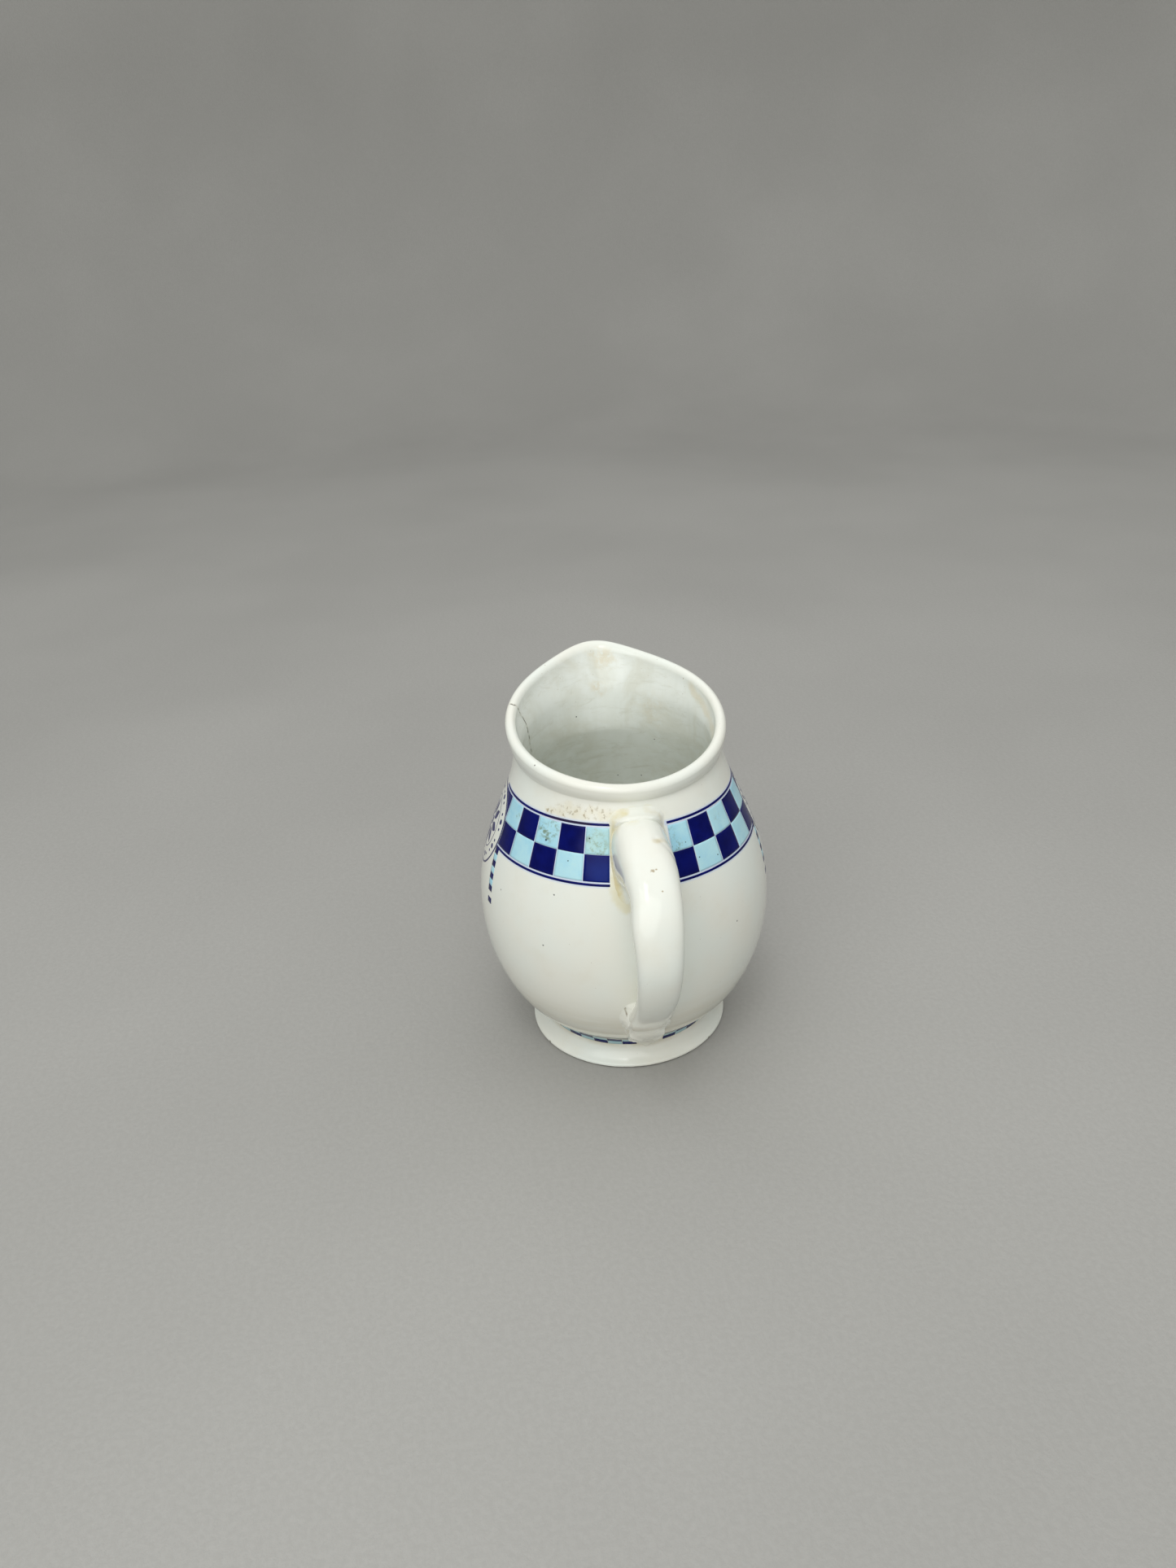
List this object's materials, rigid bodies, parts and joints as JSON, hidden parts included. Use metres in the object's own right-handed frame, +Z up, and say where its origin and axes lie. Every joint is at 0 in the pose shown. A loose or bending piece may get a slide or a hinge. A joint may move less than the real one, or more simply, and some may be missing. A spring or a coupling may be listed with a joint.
{
  "type": "cream jug",
  "caption": "Glazed ceramic cream jug with an egg-shaped belly, a flared foot ring, a tilted rim drawn out into a pouring lip, a strap handle and a printed check band.",
  "frame": {"origin": "centre of the flat face that the foot stands on, on the jug's upright axis", "axes": "+Z up along the jug's axis, +X towards the pouring lip, -X towards the handle, +Y to the left of someone who holds the handle and looks towards the lip"},
  "size_m": [0.1138, 0.0904, 0.1162],
  "materials": {
    "glazed_clay": "glossy off-white glaze with a faint orange peel, small pinholes, tan staining near the joints and a hairline crack at the rim",
    "glazed_slip": "glossy glaze over smeared slip, yellowed and stained round the upper joint",
    "cobalt_print": "dark cobalt blue underglaze print, glossy",
    "sky_print": "pale sky blue underglaze print, glossy, with faint mottling"
  },
  "bodies": {
    "root": {"body": "glazed_clay", "foot_ring": "glazed_clay", "handle": "glazed_clay", "slip_upper": "glazed_slip", "slip_lower": "glazed_slip", "band_left_dark": "cobalt_print", "band_left_light": "sky_print", "band_left_lines": "cobalt_print", "band_right_dark": "cobalt_print", "band_right_light": "sky_print", "band_right_lines": "cobalt_print", "band_front_dark": "cobalt_print", "band_front_light": "sky_print", "band_front_lines": "cobalt_print", "medallion_left": "cobalt_print", "medallion_right": "cobalt_print", "pendants_dark": "cobalt_print", "pendants_light": "sky_print", "foot_band_dark": "cobalt_print", "foot_band_light": "sky_print"}
  },
  "joints": []
}
